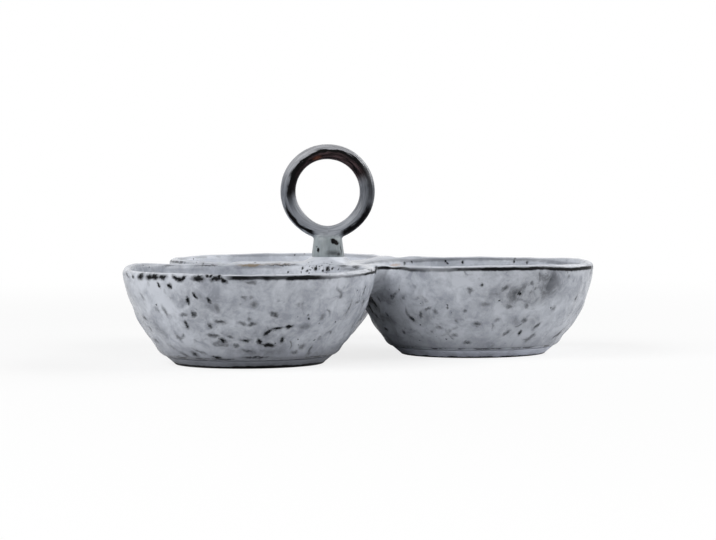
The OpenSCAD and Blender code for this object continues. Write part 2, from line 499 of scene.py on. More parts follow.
# Reactive stoneware glaze, dipped and fired: pale blue-grey, cloudy, satin-shiny. It runs thin and
# breaks to near black along the rims and the edges of the dents, and iron specks bleed through it.
# Its paleness inside the bowls and on the web is partly pooled glaze and partly painted light, and the pale
# crest of each rim is a painted highlight.
glaze = {
    "pale": "#b9bdc5", "pooledAndLit": "#e2e6ee", "deep": "#8d919a", "thin": "#6d7078", "stainAndShade": "#0e0f11",
    "cloudSize": 30.0, "flowSize": 7.0, "fineSize": 1.8,      # mm
    "wobbleSize": 2.4, "wobble": 1.8,         # mm, how ragged the edges of the breaks are
    "breakDepth": 2.2,                        # mm, how deep a break goes at least
    "strokeWide": 0.05,                       # share of a dent's height that a stroke along its edge covers
    "gateSize": 6.5,                          # mm, length of those strokes
    "dashSize": 6.0,                          # mm, dashes along a rim
    "wholeFrom": (-67.0, -60.0),              # mm across the tray between which the dashes join to a line
    "tideSize": 16.0,                         # mm, how often the line thins out
    "lineSway": 0.3,                          # mm, how unevenly the rim's line runs
    "speckSize": 2.6, "crowdSize": 1.3,       # mm between specks, and in the crowd
    "speckRound": 0.19, "crowdRound": 0.3,    # radius of a speck as a share of that
    "peelSize": 1.4, "peelDepth": 0.02,       # mm
    "webShare": 0.8, "crestShare": 0.35,      # how pale it is on the web, partly painted light, and on the crest of a rim, a painted highlight
    "fineShare": 0.35, "crestThin": 0.5,      # weight of the finest clouds, and of the dents' crests
    "cloudy": (0.65, 1.1),                    # sums of the clouds that are all deep and all pale
    "poolRun": 6.0,                           # mm over which the glaze gets thick, and is painted lit paler, inside a rim
    "webFrom": (1.0, 6.0),                    # mm outside the rims between which it gets thick, and is painted lit paler, on the web
    "crestFrom": (2.0, 1.0),                  # mm below a rim's top between which the painted highlight on its crest begins
    "breakGain": 1.2,                         # how many times its strength the middle of a break has
    "strokeSoft": 0.75, "cloudSoft": 0.9, "rustSoft": 0.5, "healSoft": 0.9,    # softness of the breaks' edges
    "lineSoft": (1.6, 0.45),                  # shares of its half width between which the rim's line darkens
    "lineStart": (22.0, 30.0),                # mm from the handle's axis between which the line begins
    "speckShare": 0.04, "crowdShare": 0.6,    # how many of the places for a speck have one
    "crowdAt": (319, 266),                    # pixel of the photograph at the middle of the crowd
    "crowdReach": (13.0, 5.0),                # mm from there between which the crowd gets dense
    "hem": 1.1, "hemHalf": 0.45,              # mm above the foot of its broken hem, and half its width
    "hemSway": 0.3, "hemSoft": 0.2,           # mm, how unevenly the hem runs, and how softly it ends
    "footFade": (3.0, 15.0),                  # mm, heights between which it darkens towards the foot
    "strokeCore": 0.3, "speckEdge": (1.3, 0.7), "hemEdge": (1.5, 0.5),    # shares of a width that are dark
    "rough": 0.24, "dryRough": 0.39, "ior": 1.45, "shine": 0.35, "dryShine": 0.06,
    "spans": {                                # from and to which value of a pattern, and what that becomes
        "within": (-0.2, 0.4), "flat": (0.1, 0.5), "crestHighlight": (0.5, 0.85), "uneven": (0.35, 0.6, 0.8, 1.1),
        "patchy": (0.62, 0.38, 0.3), "facingOut": (0.0, 0.2), "gate": (0.52, 0.68),
        "outside": (-0.2, 0.4, 0.12, 1), "toward": (-0.5, 0.1), "fainter": (0, 1, 0.6, 0.95),
        "flow": (0.3, 0.7), "crest": (0.65, 0.9, 1, 0), "outer": (-0.1, 0.15, 0.4, 1),
        "dashes": (0.44, 0.54), "tide": (0.35, 0.65, 1.25, 0.92), "broken": (0.58, 0.4, 0.1, 0.8),
    },
}

# Where the glaze pools and is painted lit paler, and where it breaks, on each bowl
onBowl = {
    "leftBowl": {
        "pool": 5.5, "share": 0.6,       # mm inside the rim where it starts to pool, and how pale it is there, partly painted light
        "thin": 0.8,                     # how much darker it gets above the foot
        "drop": 1.7, "half": 1.05,       # mm below the rim where the dark line runs, and half its width
        "rises": (                       # how the line rises, in mm, between two places across the tray
            (-50, -15, 0, -0.7), (-8, 2, 0, 0.4)),
        "narrows": (-24, -4, 1.8),       # mm across the tray over which it narrows, and how many times
        "wash": "#858890",               # wiped glaze below the hem, painted darker here as painted shade; the right bowl's is painted paler as painted light
        "rust": "#7a6644",               # iron stain
        "line": 1.0,                     # how dark the line is
    },
    "rightBowl": {
        "pool": 2.6, "share": 0.66, "thin": 0.5, "drop": 1.2, "half": 0.85,
        "rises": ((18, 24, 0.2, -0.4), (30, 60, 0, 0.4), (88, 104, 0, -1.4)),
        "wash": "#b0b4be", "rust": "#b98f6c", "line": 1.0,
    },
    "other": {"pool": 2.0, "share": 0.8, "thin": 0.7, "drop": 1.0, "half": 0.8, "rises": (),
              "wash": "#8f929a", "rust": "#b98f6c", "line": 0.72},
}
onBowl["frontSeam"] = {**onBowl["other"], "line": 1.0}

# Breaks in the glaze, and some painted shade, by the photograph's pixels: across, down, mm long, mm wide,
# lean in degrees, strength
placedMarks = {
    "leftBowl": {
        "strokes": (
            (127, 275, 6.8, 1.3, -18, 0.75), (133.2, 277, 3.2, 1.3, -18, 0.8),
            (140.6, 276.5, 5.4, 3.2, 10, 1), (200, 352, 8, 1.5, -20, 0.5),
            (217, 357.6, 5, 1.6, -8, 0.9), (185, 355, 6, 1.6, -25, 0.5),
            (255, 357.4, 13, 1.2, 0, 0.75), (172, 347, 6, 1.6, -40, 0.45),
            (149.6, 277, 6.4, 2.9, 2, 1), (154.4, 276.8, 6, 2.8, 2, 1),
            (371.8, 271.5, 5.6, 1.3, 30, 0.95), (162.5, 277.2, 5.4, 2.4, 5, 1),
            (176, 278.4, 4.8, 2, -22, 1), (179.5, 279.8, 3.6, 2.6, 0, 1),
            (183, 278.2, 3.8, 2, 28, 1), (198, 278.6, 6.4, 2.8, -5, 1),
            (199, 276, 4, 1.2, 8, 0.8), (207, 275.8, 2.6, 1.4, -50, 0.9),
            (210.8, 275.8, 3, 1.5, 55, 0.95), (216, 279, 6, 2.2, 3, 1),
            (219, 276.6, 3.4, 1.8, 80, 1), (223.5, 280.2, 4.2, 2.2, -35, 1),
            # the thin dark strokes at 265 to 267 down run along the far rim's inside: partly glaze break,
            # partly painted shadow under that rim
            (168, 265.4, 7, 0.9, 3, 0.6), (208, 265.2, 13, 0.9, -3, 0.65),
            (281, 265, 18, 0.9, 1, 0.75), (344, 265.7, 8, 1.7, -5, 0.7),
            (356, 266.9, 10, 1.7, -8, 0.75), (158.8, 285.3, 3, 1.5, -65, 0.95),
            (169.6, 285.8, 2.6, 2.6, 0, 1), (187.7, 300.3, 3.8, 2.2, 90, 0.95),
            (195, 295.8, 4.2, 2, -55, 0.9), (208.6, 300.3, 3.8, 2.2, -60, 0.85),
            (217.2, 308.4, 5.4, 3, -75, 0.5), (193.6, 314.3, 3, 3, 0, 0.8),
            (183.7, 314.8, 4.4, 1.8, 0, 0.65), (186.4, 324.7, 4.6, 2.1, 90, 0.85),
            (165.1, 311.2, 6, 2.2, -60, 0.55), (209.9, 325.6, 3.4, 2.1, -55, 0.7),
            (219.9, 321.6, 6, 2, -10, 0.65), (242, 323.8, 4.4, 1.8, -15, 0.6),
            (252, 324.3, 4.6, 1.8, 15, 0.65), (213.6, 335.6, 7, 2, -5, 0.65),
            (223.5, 340.6, 4.4, 3.2, -30, 0.85), (230.8, 337, 4.4, 1.8, -20, 0.6),
            (245.3, 340.1, 5.6, 2, 0, 0.75), (236.2, 346, 2.6, 2.6, 0, 0.75),
            (247, 351, 6.6, 1.6, -15, 0.55), (195, 354.2, 4, 2.4, -35, 0.7),
            (150.6, 328.8, 2.4, 2.4, 0, 0.5), (142.5, 296.7, 3.2, 1.8, -55, 0.4),
            (254, 304.4, 3.4, 3.4, 0, 0.5), (274, 314.7, 3.8, 2.6, -30, 0.7),
            (267.5, 332.5, 5.2, 2.3, 41, 0.95), (277, 328.5, 6, 1.8, 10, 0.95),
            (289, 326.6, 4.2, 2.1, 8, 0.95), (259.5, 341.5, 3.6, 2.4, -60, 1),
            (268.5, 345.2, 7, 2.1, -8, 1), (281.7, 340.1, 4, 2.2, 90, 0.95),
            (322.4, 317.5, 3.2, 2, 60, 0.45), (349, 308, 9.5, 2, 68, 0.55),
            (301.6, 346.4, 3.2, 3.2, 0, 0.5), (294.3, 351.9, 3.4, 1.6, 0, 0.55),
            (304.8, 326.5, 7.4, 2.4, 0, 0.35), (157, 309.3, 2.6, 2.6, 0, 0.4),
            (319.3, 338.3, 2, 2, 0, 0.4), (360, 295.3, 3, 1.4, 90, 0.4),
            (287.5, 272.1, 1, 1, 0, 0.9), (301.1, 272.1, 1, 1, 0, 0.9),
            (307.3, 270.6, 1.2, 1.2, 0, 0.9), (302.5, 267.7, 1.3, 1.3, 0, 0.9),
            (315.3, 268.6, 2, 2, 0, 1), (322.7, 270.4, 1.3, 1.3, 0, 1),
            (327.5, 269.2, 2, 2, 0, 1), (332.4, 268.2, 1.4, 1.4, 0, 0.9),
            (338.5, 269, 1.1, 1.1, 0, 0.9),
        ),
        "clouds": (
            (198, 306, 26, 18, -30, 0.3), (235, 338, 34, 10, -5, 0.35),
            (272, 338, 20, 12, 0, 0.3), (352, 305, 16, 7, 70, 0.35),
            (255, 352, 50, 4, 0, 0.35), (160, 330, 16, 6, -45, 0.25),
        ),
        "rust": ((251, 265, 13, 1.3, 0, 0.6), (277, 264, 16, 0.8, 0, 0.3)),
        "healed": ((345, 276, 28, 8, 0, 0.42),),
    },
    "rightBowl": {
        "strokes": (
            (421, 314.6, 4.8, 1.9, 75, 0.7), (412.1, 318.9, 4, 2.1, -40, 0.8),
            (435, 311.8, 2.4, 2.4, 0, 0.5), (470, 289.6, 3, 2.3, -20, 0.65),
            (465.4, 310.4, 1.8, 1.8, 0, 0.55), (476.8, 323.9, 4.2, 2.4, 0, 0.6),
            (454.3, 335, 3.2, 1.5, 0, 0.5), (387.1, 314.6, 3, 3, 0, 0.7),
            (403.6, 331.8, 2.8, 2, 90, 0.6), (386, 329.3, 3.6, 2, -40, 0.7),
            (481.6, 285, 1.5, 1.5, 0, 0.75), (506, 288, 5.4, 2.4, 30, 0.6),
            (519.5, 293.3, 3, 3, 0, 0.85), (531.9, 283.1, 2.8, 2.8, 0, 0.55),
            (509, 306.4, 3.6, 2.6, 0, 0.6), (526.6, 305.7, 3, 3, 0, 0.55),
            (553.7, 308.3, 2.6, 2.6, 0, 0.5), (575.9, 298.2, 3.2, 1.9, 60, 0.75),
            (524, 320.7, 3.6, 2.4, 0, 0.6), (536.5, 326.4, 5.8, 2.1, 48, 0.65),
            (506.7, 332.8, 5.2, 1.8, 40, 0.6), (519.9, 332.8, 3.4, 2.4, 90, 0.8),
            (528, 339, 4.8, 1.9, 35, 0.55), (466.8, 342.5, 3.6, 1.5, 0, 0.6),
            (447.1, 307.9, 1.3, 1.3, 0, 0.6), (535.3, 289.1, 2.2, 2.2, 0, 0.55),
            (568.8, 276.7, 2, 2, 0, 0.5), (391.4, 296.4, 2, 2, 0, 0.6),
            (403.6, 297.9, 1.8, 1.8, 0, 0.5), (497.3, 320, 3.4, 1.6, 20, 0.4),
            (412.1, 261.8, 1.4, 1.4, 0, 1), (445.6, 261.3, 1.6, 1.6, 0, 1),
            (462.5, 262.5, 1.4, 1.4, 0, 1), (513.9, 261.7, 1.5, 1.5, 0, 0.9),
            (527.4, 262.4, 1.4, 1.4, 0, 0.9), (404.6, 263.4, 1.7, 1.7, 0, 0.7),
            (447.5, 263.4, 1.1, 1.1, 0, 0.9), (514.5, 259, 1.2, 1.2, 0, 0.8),
            # the strokes at 371 to 380 across, on the left flank, are painted shade where the left bowl
            # shades it
            (427.5, 309.2, 4.6, 1.5, 25, 0.55), (374.5, 303, 9, 2.6, -60, 0.8),
            (371, 309.5, 8, 2.4, -60, 0.8), (379, 299.5, 5, 2, -60, 0.6),
            (544, 293, 5, 3.6, 0, 0.5), (485.5, 304.3, 5, 2.4, 0, 0.45),
            (439, 327.5, 3.4, 1.8, -15, 0.5), (532, 336, 4.4, 1.9, 60, 0.55),
            (376.5, 316, 7, 2.6, -50, 0.6),
        ),
        # the clouds at 375 to 390 across, on the left flank, are painted shade where the left bowl shades it,
        # partly dark glaze; the others are darker glaze
        "clouds": (
            (528, 292, 34, 13, 10, 0.65), (548, 278, 14, 8, 0, 0.6),
            (520, 326, 20, 10, 20, 0.3), (389, 312, 15, 26, 0, 0.42),
            (420, 318, 14, 7, 0, 0.3), (390, 280, 10, 6, 0, 0.2),
            (375, 308, 18, 10, -62, 0.85),
        ),
        "rust": ((395, 265.3, 8, 1.4, 0, 0.4),),
        "healed": (
            (430, 269.5, 26, 8, 0, 0.34), (470, 269, 10, 6, 0, 0.12),
            (592, 266, 6, 6, 0, 0.5),
        ),
    },
    "frontSeam": {
        "strokes": ((376, 269.7, 4.2, 1.4, 60, 1),),
        "rust": ((388, 265.2, 8, 1.6, 0, 0.45),),
        "healed": ((373.6, 267.6, 3, 4, 0, 0.8),),
    },
    "handleStem": {
        "strokes": (
            (333.4, 241, 3, 2.3, -30, 1), (336.6, 242.8, 2.8, 2.2, -20, 1),
            (318.3, 250, 2.4, 1.7, -70, 0.9), (341, 249, 6, 0.9, -80, 0.6),
            (316.5, 246.5, 1, 1, 0, 0.6),
        ),
        # painted shade at the stem's foot, darkest on its right
        "clouds": ((334, 253, 7, 2.4, 0, 0.55), (338.5, 254, 3, 2, 0, 0.7)),
    },
    "handleRing": {
        "rust": ((317, 158, 4, 1.8, 20, 0.5),),
    },
}


def placedMask(tree, place, name, kind, soft):  # a piece's placed marks of one kind, as one mask; some of them are painted shade
    mask = 0.0
    for across, down, long, wide, lean, strength in placedMarks.get(name, {}).get(kind, ()):
        found = underPixel(pieces[name], across, down)
        if not found:
            print("no glaze under", name, across, down)
            continue
        spot, facing = found
        reach = (1 + soft) * mm
        local = addNode(tree, "ShaderNodeMapping", {
            "Vector": place, "Location": spot,
            "Rotation": (0, -math.radians(lean), math.atan2(facing.x, -facing.y)),
            "Scale": (long / 2 * reach, max(wide / 2, glaze["breakDepth"]) * reach, wide / 2 * reach)},
            vector_type="TEXTURE")
        near = addNode(tree, "ShaderNodeTexGradient", {"Vector": local}, give=1, gradient_type="SPHERICAL")
        mark = ramp(tree, near, 0, 2 * soft / (1 + soft), 0, strength * glaze["breakGain"], soft=True)
        mask = maths(tree, "MAXIMUM", mark, mask)
    return mask


def raggedPlace(tree, place, size, amount):  # coordinates that tear the edges of what is placed by them
    noise = lumpy(tree, place, size, 5.0, 0.75, give=1)
    noise = vectors(tree, "SUBTRACT", noise, (0.5, 0.5, 0.5))
    noise = addNode(tree, "ShaderNodeVectorMath", {0: noise, "Scale": 2 * amount * mm}, operation="SCALE")
    return vectors(tree, "ADD", place, noise)


def fireGlaze(name):  # the glaze as it lies on one piece
    own, span = onBowl[name], glaze["spans"]
    material = bpy.data.materials.new("reactiveStonewareGlaze")
    tree = emptyTree(material)
    place = addNode(tree, "ShaderNodeTexCoord", {}, give=3)
    facing = addNode(tree, "ShaderNodeTexCoord", {}, give=1)
    height = addNode(tree, "ShaderNodeSeparateXYZ", {0: place}, give=2)
    upward = addNode(tree, "ShaderNodeSeparateXYZ", {0: facing}, give=2)

    # how far a point lies outside the nearest rim, and how much it faces away from that bowl's axis
    edge, outward = None, None
    for bowl in bowls.values():
        off = vectors(tree, "SUBTRACT", place, bowl["centre"])
        off = vectors(tree, "MULTIPLY", off, (1, 1, 0))
        away = vectors(tree, "LENGTH", off, give=1)
        away = maths(tree, "SUBTRACT", away, bowl["radius"])
        off = vectors(tree, "NORMALIZE", off)
        out = vectors(tree, "DOT_PRODUCT", off, facing, give=1)
        if edge is None:
            edge, outward = away, out
            continue
        nearer = maths(tree, "LESS_THAN", away, edge)
        outward = addNode(tree, "ShaderNodeMix", {0: nearer, 2: outward, 3: out})
        edge = maths(tree, "MINIMUM", away, edge)

    # cloudy body of the glaze: pale in the hollows, thinner on the crests of the dents, and darker towards
    # the foot
    clouds = lumpy(tree, place, glaze["cloudSize"], 3.0, 0.6)
    flow = lumpy(tree, place, glaze["flowSize"], 5.0, 0.65, 0.6)
    fine = lumpy(tree, place, glaze["fineSize"], 3.0, 0.6)
    dents = lumpy(tree, place, touch["dentSize"], 1.0)
    cloudy = maths(tree, "ADD", clouds, flow)
    cloudy = maths(tree, "MULTIPLY_ADD", fine, glaze["fineShare"], cloudy)
    cloudy = maths(tree, "MULTIPLY_ADD", dents, -glaze["crestThin"], cloudy)
    cloudy = ramp(tree, cloudy, *glaze["cloudy"])
    colour = blend(tree, cloudy, linear(glaze["deep"]), linear(glaze["pale"]))
    # darker towards the foot
    low, high = [fade * mm for fade in glaze["footFade"]]
    thin = ramp(tree, height, high, low, 0, own["thin"], soft=True)
    colour = blend(tree, thin, colour, linear(glaze["thin"]))

    # thick and pale where it pools, partly painted light: inside the bowls and on the web; a painted
    # highlight on the crest of each rim
    pool, run = own["pool"] * mm, glaze["poolRun"] * mm
    inBowl = ramp(tree, edge, -pool, -pool - run, 0, own["share"], soft=True)
    within = maths(tree, "SUBTRACT", upward, outward)
    within = ramp(tree, within, *span["within"])
    inBowl = maths(tree, "MULTIPLY", inBowl, within)
    begin, end = [reach * mm for reach in glaze["webFrom"]]
    onWeb = ramp(tree, edge, begin, end, 0, glaze["webShare"], soft=True)
    flat = ramp(tree, upward, *span["flat"])
    onWeb = maths(tree, "MULTIPLY", onWeb, flat)
    pooledAndLit = maths(tree, "MAXIMUM", inBowl, onWeb)
    # painted highlight: the crest of each rim painted paler
    crestHighlight = ramp(tree, upward, *span["crestHighlight"], soft=True)
    begin, end = [rimTop - drop * mm for drop in glaze["crestFrom"]]
    atRim = ramp(tree, height, begin, end, 0, glaze["crestShare"])
    crestHighlight = maths(tree, "MULTIPLY", crestHighlight, atRim)
    pooledAndLit = maths(tree, "MAXIMUM", pooledAndLit, crestHighlight)
    colour = blend(tree, pooledAndLit, colour, linear(glaze["pooledAndLit"]))

    # the placed breaks, with painted shade among the strokes and clouds
    ragged = raggedPlace(tree, place, glaze["wobbleSize"], glaze["wobble"])
    marks = placedMask(tree, ragged, name, "strokes", glaze["strokeSoft"])
    uneven = ramp(tree, fine, *span["uneven"])
    marks = maths(tree, "MULTIPLY", marks, uneven)
    patchesAndShade = placedMask(tree, ragged, name, "clouds", glaze["cloudSoft"])
    patchy = ramp(tree, flow, *span["patchy"])
    facingOut = ramp(tree, outward, *span["facingOut"])
    for share in (patchy, facingOut):
        patchesAndShade = maths(tree, "MULTIPLY", patchesAndShade, share)
    rusty = placedMask(tree, ragged, name, "rust", glaze["rustSoft"])

    # strokes along the edges of the dents, fainter inside the bowls and where breaks are placed
    stroke = maths(tree, "SUBTRACT", dents, 0.5)
    stroke = maths(tree, "ABSOLUTE", stroke)
    stroke = ramp(tree, stroke, glaze["strokeWide"], glaze["strokeWide"] * glaze["strokeCore"], soft=True)
    gate = lumpy(tree, place, glaze["gateSize"], 3.0)
    gate = ramp(tree, gate, *span["gate"], soft=True)
    outside = ramp(tree, outward, *span["outside"])
    toward = addNode(tree, "ShaderNodeSeparateXYZ", {0: facing}, give=1)
    toward = ramp(tree, toward, *span["toward"])
    fainter = ramp(tree, toward, *span["fainter"])
    for share in (gate, outside, fainter):
        stroke = maths(tree, "MULTIPLY", stroke, share)

    # rims: the glaze breaks along the outer edge, on the left bowl's left side only in the placed dashes
    sway = glaze["lineSway"] * mm
    lineAt = ramp(tree, flow, *span["flow"], rimTop - sway, rimTop + sway)
    across = addNode(tree, "ShaderNodeSeparateXYZ", {0: place}, give=0)
    for begin, end, first, last in own["rises"]:
        rise = ramp(tree, across, begin * mm, end * mm, first * mm, last * mm)
        lineAt = maths(tree, "ADD", lineAt, rise)
    below = maths(tree, "SUBTRACT", lineAt, height)
    below = maths(tree, "SUBTRACT", below, own["drop"] * mm)
    below = maths(tree, "ABSOLUTE", below)
    if "narrows" in own:
        begin, end, times = own["narrows"]
        narrow = ramp(tree, across, begin * mm, end * mm, 1, times)
        below = maths(tree, "MULTIPLY", below, narrow)
    begin, end = [share * own["half"] * mm for share in glaze["lineSoft"]]
    rim = ramp(tree, below, begin, end, 0, own["line"], soft=True)
    crest = ramp(tree, upward, *span["crest"], soft=True)
    outer = ramp(tree, outward, *span["outer"])
    dashes = lumpy(tree, place, glaze["dashSize"], 3.0)
    dashes = ramp(tree, dashes, *span["dashes"], soft=True)
    if name == "leftBowl":
        dashes = maths(tree, "MULTIPLY", dashes, toward)
    whole = ramp(tree, across, glaze["wholeFrom"][0] * mm, glaze["wholeFrom"][1] * mm)
    dashes = maths(tree, "MAXIMUM", dashes, whole)
    tide = lumpy(tree, place, glaze["tideSize"], 3.0)
    tide = ramp(tree, tide, *span["tide"])
    healed = placedMask(tree, place, name, "healed", glaze["healSoft"])
    healed = maths(tree, "SUBTRACT", 1.0, healed)
    middle = vectors(tree, "SUBTRACT", place, ringCentre)
    middle = vectors(tree, "MULTIPLY", middle, (1, 1, 0))
    middle = vectors(tree, "LENGTH", middle, give=1)
    middle = ramp(tree, middle, glaze["lineStart"][0] * mm, glaze["lineStart"][1] * mm)
    for share in (crest, outer, dashes, tide, healed, middle):
        rim = maths(tree, "MULTIPLY", rim, share)

    # iron specks, a few everywhere and a crowd on the left bowl's far wall below the handle
    kinds = {"speck": glaze["speckShare"]}
    if name == "leftBowl":
        crowd = vectors(tree, "DISTANCE", place, underPixel(pieces[name], *glaze["crowdAt"])[0], give=1)
        begin, end = [reach * mm for reach in glaze["crowdReach"]]
        kinds["crowd"] = ramp(tree, crowd, begin, end, 0, glaze["crowdShare"])
    speck = 0.0
    for kind, more in kinds.items():
        size = perSize(glaze[kind + "Size"])
        radius = glaze[kind + "Round"]
        cells = addNode(tree, "ShaderNodeTexVoronoi", {"Vector": ragged, "Scale": size})
        lots = addNode(tree, "ShaderNodeTexVoronoi", {"Vector": ragged, "Scale": size}, give=1)
        lots = addNode(tree, "ShaderNodeSeparateXYZ", {0: lots})
        lots = maths(tree, "LESS_THAN", lots, more)
        spots = ramp(tree, cells, *[radius * share for share in glaze["speckEdge"]], soft=True)
        spots = maths(tree, "MULTIPLY", spots, lots)
        speck = maths(tree, "MAXIMUM", spots, speck)

    # above the foot the glaze ends in a broken dark hem, and is wiped thin below it; that wash is painted
    # darker on the left bowl and paler on the right
    hemAt = [-footTop - (glaze["hem"] + sway) * mm for sway in (-glaze["hemSway"], glaze["hemSway"])]
    over = ramp(tree, flow, *span["flow"], *hemAt)
    over = maths(tree, "ADD", height, over)
    wiped = ramp(tree, over, glaze["hemSoft"] * mm, -glaze["hemSoft"] * mm)
    colour = blend(tree, wiped, colour, linear(own["wash"]))
    hem = maths(tree, "ABSOLUTE", over)
    hem = ramp(tree, hem, *[share * glaze["hemHalf"] * mm for share in glaze["hemEdge"]], soft=True)
    broken = ramp(tree, flow, *span["broken"])
    hem = maths(tree, "MULTIPLY", hem, broken)
    # all the dark marks: breaks, specks and hem, with painted shade among them
    dark = marks
    for more in (patchesAndShade, stroke, rim, speck, hem):
        dark = maths(tree, "MAXIMUM", dark, more)
    colour = blend(tree, dark, colour, linear(glaze["stainAndShade"]))
    colour = blend(tree, rusty, colour, linear(own["rust"]))
    peel = lumpy(tree, place, glaze["peelSize"], 1.0)
    bump = bumpy(tree, peel, glaze["peelDepth"])
    rough = ramp(tree, dark, 0, 1, glaze["rough"], glaze["dryRough"])
    shine = ramp(tree, dark, 0, 1, glaze["shine"], glaze["dryShine"])
    shader = addNode(tree, "ShaderNodeBsdfPrincipled", {
        "Base Color": colour, "Roughness": rough, "Normal": bump,
        "IOR": glaze["ior"], "Specular IOR Level": shine})
    addNode(tree, "ShaderNodeOutputMaterial", {0: shader})
    return material


# The handle's glaze is thinner: mid blue-grey, drawn out in streaks round the ring and down the stem. It has
# broken to black-brown along a band inside the ring's top and along its lower outer edge; these bands are
# partly painted shade on the faces that look down and to the right.
handleGlaze = {
    "top": "#abacb1", "side": "#767a82", "low": "#9da1a8", "stem": "#939b9e",
    "blackBreakAndShade": "#0c0b0c", "brown": "#4a3c3e", "rust": "#6b3d2a",
    "streakLong": 8.0, "streakWide": 0.7, "streakDepth": 0.06,    # mm, round the ring
    "runLong": 9.0, "runWide": 1.4,            # mm, streaks down the stem
    "hair": 1.6,                               # mm that streaks fray the bands' edges by
    "stemHalf": (5.5, 8.5),                    # mm beside the stem's axis where the ring's colour begins
    "upperEnd": (-0.45, 0.0),                  # sines of the heights on the ring between which the bands end
    "innerEnd": (-0.05, 0.3), "innerLean": 0.22,
    "lowerEnd": (-0.1, -0.45),
    "rustSoft": 0.8, "strokeSoft": 0.4, "cloudSoft": 0.9,    # softness of the breaks' edges
    "ragSize": 5.0, "rag": 0.6,                # mm, how ragged the band's edges are
    "upperBand": 0.5, "upperDrift": 1.4,       # mm outside the ring's middle line, and more to the right
    "upperWide": 0.5, "upperMore": 0.9,        # half its width at the top, and more at the sides
    "lowerBand": 2.3, "lowerDrift": 0.3, "lowerWide": 1.35, "lowerMore": 0.65,
    "stemTop": 3.0,                            # mm of the ring's foot in the stem's colour
    "wobbleSize": 1.8, "wobble": 1.3,          # mm, how ragged the stem's marks are
    "rough": 0.3, "ior": 1.45, "shine": 0.35, "dryShine": 0.06,
    "spans": {                                 # from and to which value of a pattern, and what that becomes
        "rag": (0.25, 0.75), "upper": (1.4, 0.5), "upperFade": (0.75, 1.0, 1, 0.65), "inner": (0.3, -0.6),
        "lower": (1.4, 0.6), "top": (0.1, 0.9), "low": (-0.3, -0.9), "faint": (0.35, 0.7, 0.45, 0.0),
        "shade": (0.65, 1.0, 0, 0.2), "fibres": (0.4, 0.65), "blacker": (-0.95, -0.4, 0.25),
        "stemFaint": (0.4, 0.7, 0.25, 0.0),
    },
}


